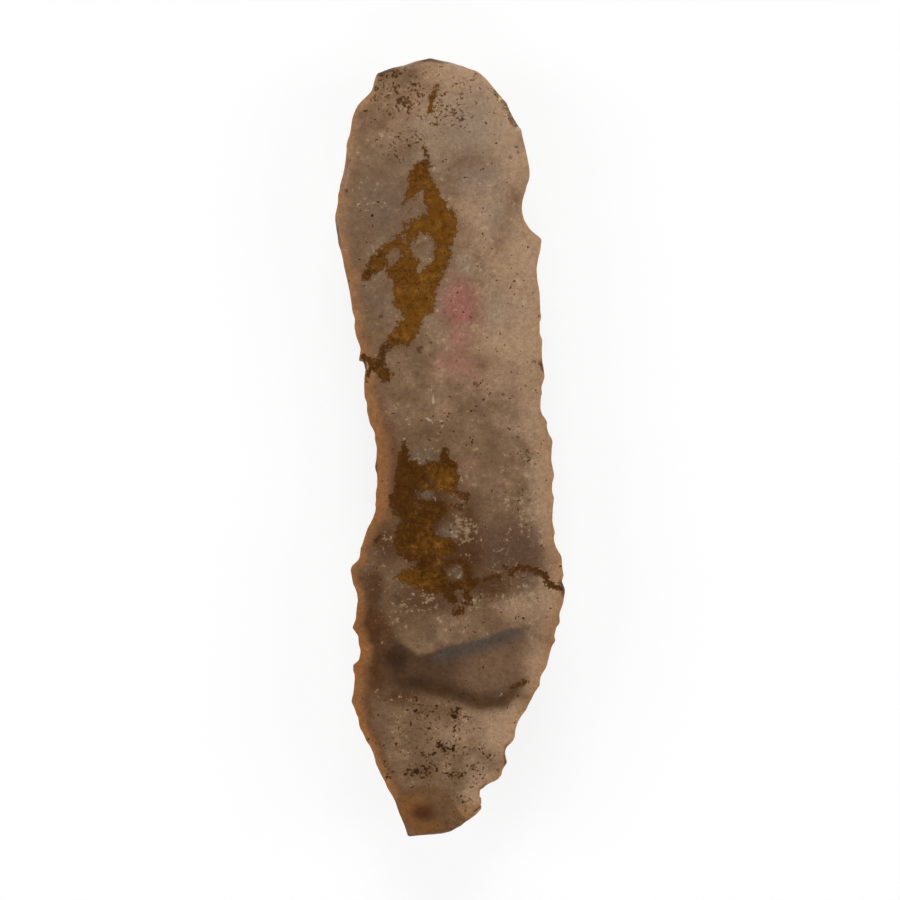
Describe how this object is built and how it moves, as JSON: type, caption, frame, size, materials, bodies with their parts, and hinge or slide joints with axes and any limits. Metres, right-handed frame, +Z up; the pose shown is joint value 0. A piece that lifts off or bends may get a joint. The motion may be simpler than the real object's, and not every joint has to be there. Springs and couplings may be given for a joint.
{
  "type": "crested blade",
  "caption": "Knapped flint crested blade: a long flake with a smooth ventral face, thin wavy margins and a back ridge shaped by flake scars struck to both sides.",
  "frame": {"origin": "middle of the bounding box, on the surface that the stone rests on, which touches the worn crest", "axes": "+Y runs along the stone towards its rounded proximal end, +Z points up out of the ventral face, +X to the right when that face is seen with the proximal end up"},
  "size_m": [0.0284, 0.096, 0.0108],
  "materials": {
    "flint": "smooth, faintly waxy, mottled grey-brown with honey-coloured thin edges and rusty stains"
  },
  "bodies": {
    "root": {"blade": "flint"}
  },
  "joints": []
}
